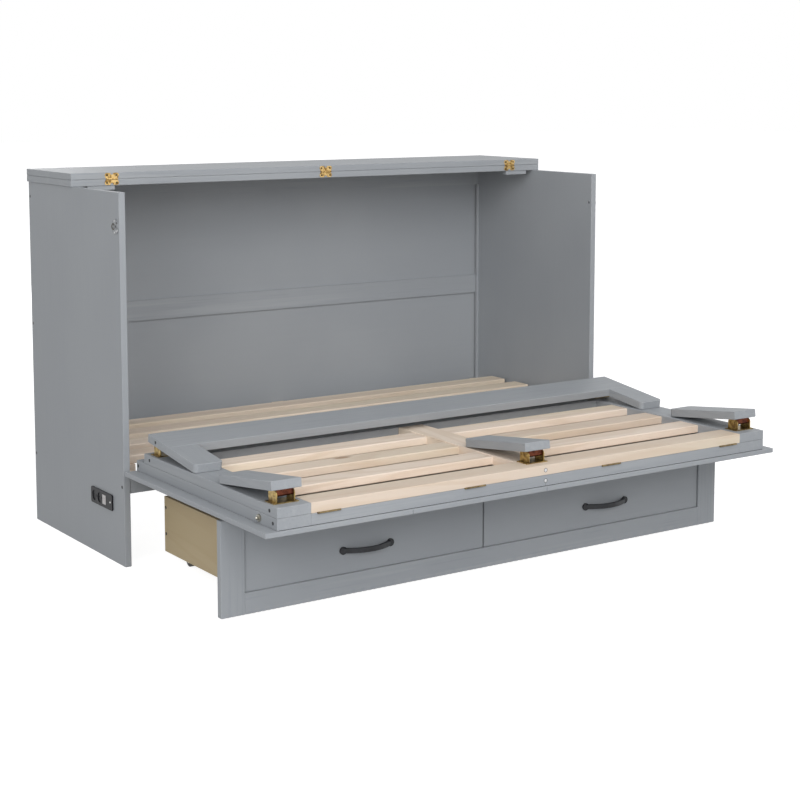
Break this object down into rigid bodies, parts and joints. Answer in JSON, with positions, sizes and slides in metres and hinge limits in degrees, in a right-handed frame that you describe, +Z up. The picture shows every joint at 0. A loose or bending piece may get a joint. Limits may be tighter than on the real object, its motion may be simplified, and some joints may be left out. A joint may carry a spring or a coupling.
{
  "type": "cabinet bed",
  "caption": "Grey cabinet bed standing open: folding top, front panel let down level, foot section with legs folded back on it, and a drawer on casters pulled out.",
  "frame": {"origin": "middle of the footprint on the floor, the bed standing as pictured", "axes": "+X across the bed to the right seen from the foot, +Y towards the cabinet's back, +Z up"},
  "size_m": [1.61, 1.361, 1.0213],
  "materials": {
    "grey_paint": "satin grey paint",
    "grey_panel": "satin grey paint",
    "pine": "bare planed pine",
    "drawer_wood": "tan wood board",
    "brass": "satin",
    "yellow_zinc": "yellow passivated zinc",
    "nickel": "satin nickel",
    "caster_steel": "zinc plate",
    "wheel_rubber": "matt",
    "black_metal": "satin black",
    "black_plastic": "satin black",
    "pale_plastic": "satin"
  },
  "bodies": {
    "cabinet": {"side_panel_left": "grey_paint", "side_panel_right": "grey_paint", "fixed_top": "grey_paint", "back_panels": "grey_panel", "back_bottom_rail": "grey_paint", "back_mid_rail": "grey_paint", "back_top_rail": "grey_paint", "back_corner_battens": "grey_paint", "apron_rail": "grey_paint", "deck_ledgers": "pine", "deck_centre_beam": "pine", "deck_slats": "pine", "top_cleats": "grey_paint", "latch_escutcheons": "nickel", "side_screws": "yellow_zinc", "outlet_plate": "black_plastic", "outlet_port_insert": "pale_plastic", "outlet_body": "black_plastic", "top_hinge_fixed_leaves": "brass", "panel_hinge_fixed_leaves": "brass"},
    "top_flap": {"top_flap": "grey_paint", "top_hinge_flap_leaves": "brass"},
    "front_panel": {"face_board": "grey_paint", "panel_side_rails": "grey_paint", "panel_front_rail": "grey_paint", "panel_rear_rail": "grey_paint", "panel_slats": "pine", "panel_hinge_moving_leaves": "brass", "foot_hinge_panel_leaves": "brass", "latch_barrels": "nickel"},
    "latch_bolt_left": {"latch_bolt_left": "nickel"},
    "latch_bolt_right": {"latch_bolt_right": "nickel"},
    "foot_section": {"section_side_rails": "grey_paint", "section_end_rail": "grey_paint", "section_front_beam": "pine", "section_centre_beam": "pine", "section_slats": "pine", "foot_hinge_section_leaves": "brass", "leg_brackets": "yellow_zinc"},
    "foot_leg": {"foot_leg_rail": "grey_paint", "foot_leg_arms": "grey_paint", "foot_leg_straps": "yellow_zinc"},
    "short_leg_left": {"short_leg_left": "grey_paint", "short_leg_strap_left": "yellow_zinc"},
    "short_leg_centre": {"short_leg_centre": "grey_paint", "short_leg_strap_centre": "yellow_zinc"},
    "short_leg_right": {"short_leg_right": "grey_paint", "short_leg_strap_right": "yellow_zinc"},
    "drawer": {"drawer_stiles": "grey_paint", "drawer_bottom_rail": "grey_paint", "false_fronts": "grey_paint", "drawer_box_sides": "drawer_wood", "drawer_box_ends": "drawer_wood", "drawer_bottom": "drawer_wood", "drawer_handles": "black_metal", "caster_forks": "caster_steel"},
    "caster_wheel_front_left": {"caster_wheel_front_left": "wheel_rubber"},
    "caster_wheel_front_right": {"caster_wheel_front_right": "wheel_rubber"},
    "caster_wheel_rear_left": {"caster_wheel_rear_left": "wheel_rubber"},
    "caster_wheel_rear_right": {"caster_wheel_rear_right": "wheel_rubber"}
  },
  "joints": [
    {"name": "top_flap_fold", "type": "hinge", "parent": "cabinet", "child": "top_flap", "pos_m": [0, 0.3627, 1.0033], "axis": [1, 0, 0], "range_deg": [0, 180]},
    {"name": "front_panel_fold", "type": "hinge", "parent": "cabinet", "child": "front_panel", "pos_m": [0, 0.059, 0.2445], "axis": [1, 0, 0], "range_deg": [-90, 0]},
    {"name": "latch_slide_left", "type": "slide", "parent": "front_panel", "child": "latch_bolt_left", "axis": [-1, 0, 0], "range_m": [0, 0.012]},
    {"name": "latch_slide_right", "type": "slide", "parent": "front_panel", "child": "latch_bolt_right", "axis": [1, 0, 0], "range_m": [0, 0.012]},
    {"name": "foot_section_fold", "type": "hinge", "parent": "front_panel", "child": "foot_section", "pos_m": [0, -0.677, 0.28815], "axis": [1, 0, 0], "range_deg": [0, 180]},
    {"name": "foot_leg_fold", "type": "hinge", "parent": "foot_section", "child": "foot_leg", "pos_m": [0, -0.0245, 0.3333], "axis": [-1, 0, 0], "range_deg": [0, 97.31]},
    {"name": "short_leg_fold_left", "type": "hinge", "parent": "foot_section", "child": "short_leg_left", "pos_m": [-0.7295, -0.6305, 0.3333], "axis": [1, 0, 0], "range_deg": [0, 97.31]},
    {"name": "short_leg_fold_centre", "type": "hinge", "parent": "foot_section", "child": "short_leg_centre", "pos_m": [0, -0.6305, 0.3333], "axis": [1, 0, 0], "range_deg": [0, 97.31]},
    {"name": "short_leg_fold_right", "type": "hinge", "parent": "foot_section", "child": "short_leg_right", "pos_m": [0.7295, -0.6305, 0.3333], "axis": [1, 0, 0], "range_deg": [0, 97.31]},
    {"name": "drawer_slide", "type": "slide", "parent": "cabinet", "child": "drawer", "axis": [0, 1, 0], "range_m": [0, 0.516]},
    {"name": "caster_roll_front_left", "type": "hinge", "parent": "drawer", "child": "caster_wheel_front_left", "pos_m": [-0.649, -0.3945, 0.018], "axis": [1, 0, 0], "continuous": true},
    {"name": "caster_roll_front_right", "type": "hinge", "parent": "drawer", "child": "caster_wheel_front_right", "pos_m": [0.649, -0.3945, 0.018], "axis": [1, 0, 0], "continuous": true},
    {"name": "caster_roll_rear_left", "type": "hinge", "parent": "drawer", "child": "caster_wheel_rear_left", "pos_m": [-0.649, -0.0095, 0.018], "axis": [1, 0, 0], "continuous": true},
    {"name": "caster_roll_rear_right", "type": "hinge", "parent": "drawer", "child": "caster_wheel_rear_right", "pos_m": [0.649, -0.0095, 0.018], "axis": [1, 0, 0], "continuous": true}
  ]
}
